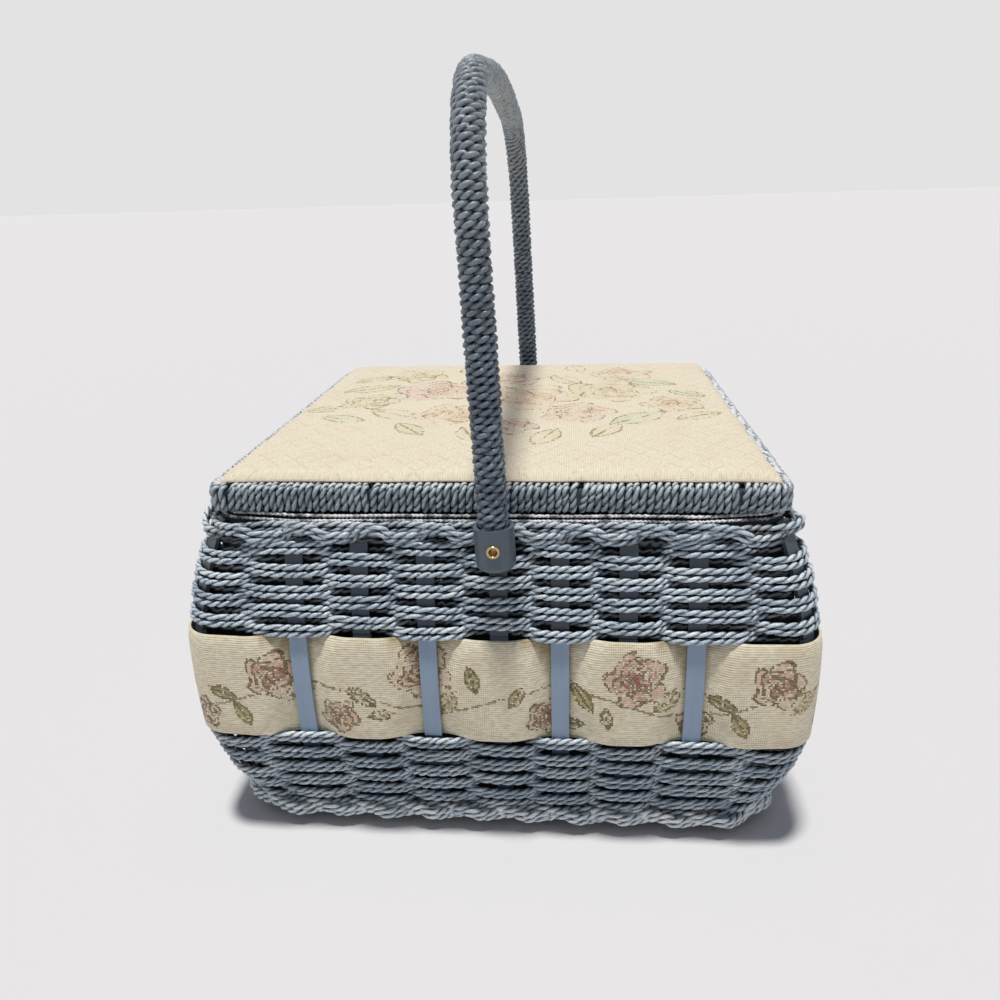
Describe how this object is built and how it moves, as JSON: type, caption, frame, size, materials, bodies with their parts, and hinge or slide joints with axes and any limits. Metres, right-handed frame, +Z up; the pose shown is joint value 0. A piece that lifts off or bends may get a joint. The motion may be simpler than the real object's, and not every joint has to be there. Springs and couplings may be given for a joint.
{
  "type": "sewing basket",
  "caption": "Square woven sewing basket with a tapestry band, a padded hinged lid, a wrapped swing handle and a sliding tray inside.",
  "frame": {"origin": "centre of the footprint, on the surface that the basket stands on", "axes": "+Z up; +Y from the front wall to the back wall, along the handle's swing axis; +X from the lid's hinges to its opening edge"},
  "size_m": [0.2686, 0.2888, 0.3294],
  "materials": {
    "stake_plastic": "satin blue-grey plastic strip",
    "paper_cord": "two-ply twisted paper cord, blue-grey",
    "band_tapestry": "beige woven tapestry with roses",
    "lid_tapestry": "cream woven tapestry with flowers",
    "lining_cloth": "pale satin lining",
    "board": "grey board",
    "foam": "soft foam",
    "frame_plastic": "moulded plastic",
    "cup_plastic": "smooth blue-grey plastic",
    "tray_plastic": "pale moulded plastic",
    "eyelet_brass": "polished brass",
    "hinge_metal": "plain steel"
  },
  "bodies": {
    "basket": {"feet": "stake_plastic", "base_board": "board", "floor_pad": "lining_cloth", "stakes_front": "stake_plastic", "stakes_right": "stake_plastic", "stakes_back": "stake_plastic", "stakes_left": "stake_plastic", "corner_posts": "stake_plastic", "base_braid": "paper_cord", "lower_weave": "paper_cord", "tapestry_band": "band_tapestry", "upper_weave": "paper_cord", "top_braid": "paper_cord", "rim_frame": "frame_plastic", "rim_cords": "paper_cord", "lining": "lining_cloth", "tray_rail_back": "frame_plastic", "tray_rail_front": "frame_plastic", "hinge_leaves_basket": "hinge_metal", "hinge_screws_basket": "hinge_metal", "hinge_pins": "hinge_metal", "pivot_pin_back": "eyelet_brass", "pivot_pin_front": "eyelet_brass", "pivot_washers": "eyelet_brass", "pivot_spacers": "cup_plastic"},
    "lid": {"hinge_leaves_lid": "hinge_metal", "hinge_screws_lid": "hinge_metal", "lid_hoop": "frame_plastic", "lid_cord_edge": "paper_cord", "lid_board": "board", "lid_foam": "foam", "lid_cover": "lid_tapestry", "lid_lining": "lining_cloth"},
    "handle": {"handle_core": "frame_plastic", "handle_wrap": "paper_cord", "handle_cup_back": "cup_plastic", "handle_cup_front": "cup_plastic"},
    "tray": {"tray": "tray_plastic", "tray_dividers": "tray_plastic"}
  },
  "joints": [
    {"name": "lid_hinge", "type": "hinge", "parent": "basket", "child": "lid", "pos_m": [-0.1222, 0, 0.15245], "axis": [0, -1, 0], "range_deg": [0, 100]},
    {"name": "handle_swing", "type": "hinge", "parent": "basket", "child": "handle", "pos_m": [0.0025, 0, 0.148], "axis": [0, -1, 0], "range_deg": [0, 88]},
    {"name": "tray_slide", "type": "slide", "parent": "basket", "child": "tray", "axis": [1, 0, 0], "range_m": [0, 0.116]}
  ],
  "couplings": [
    {"joint": "handle_swing", "follows": "lid_hinge", "ratio": 0.88}
  ]
}
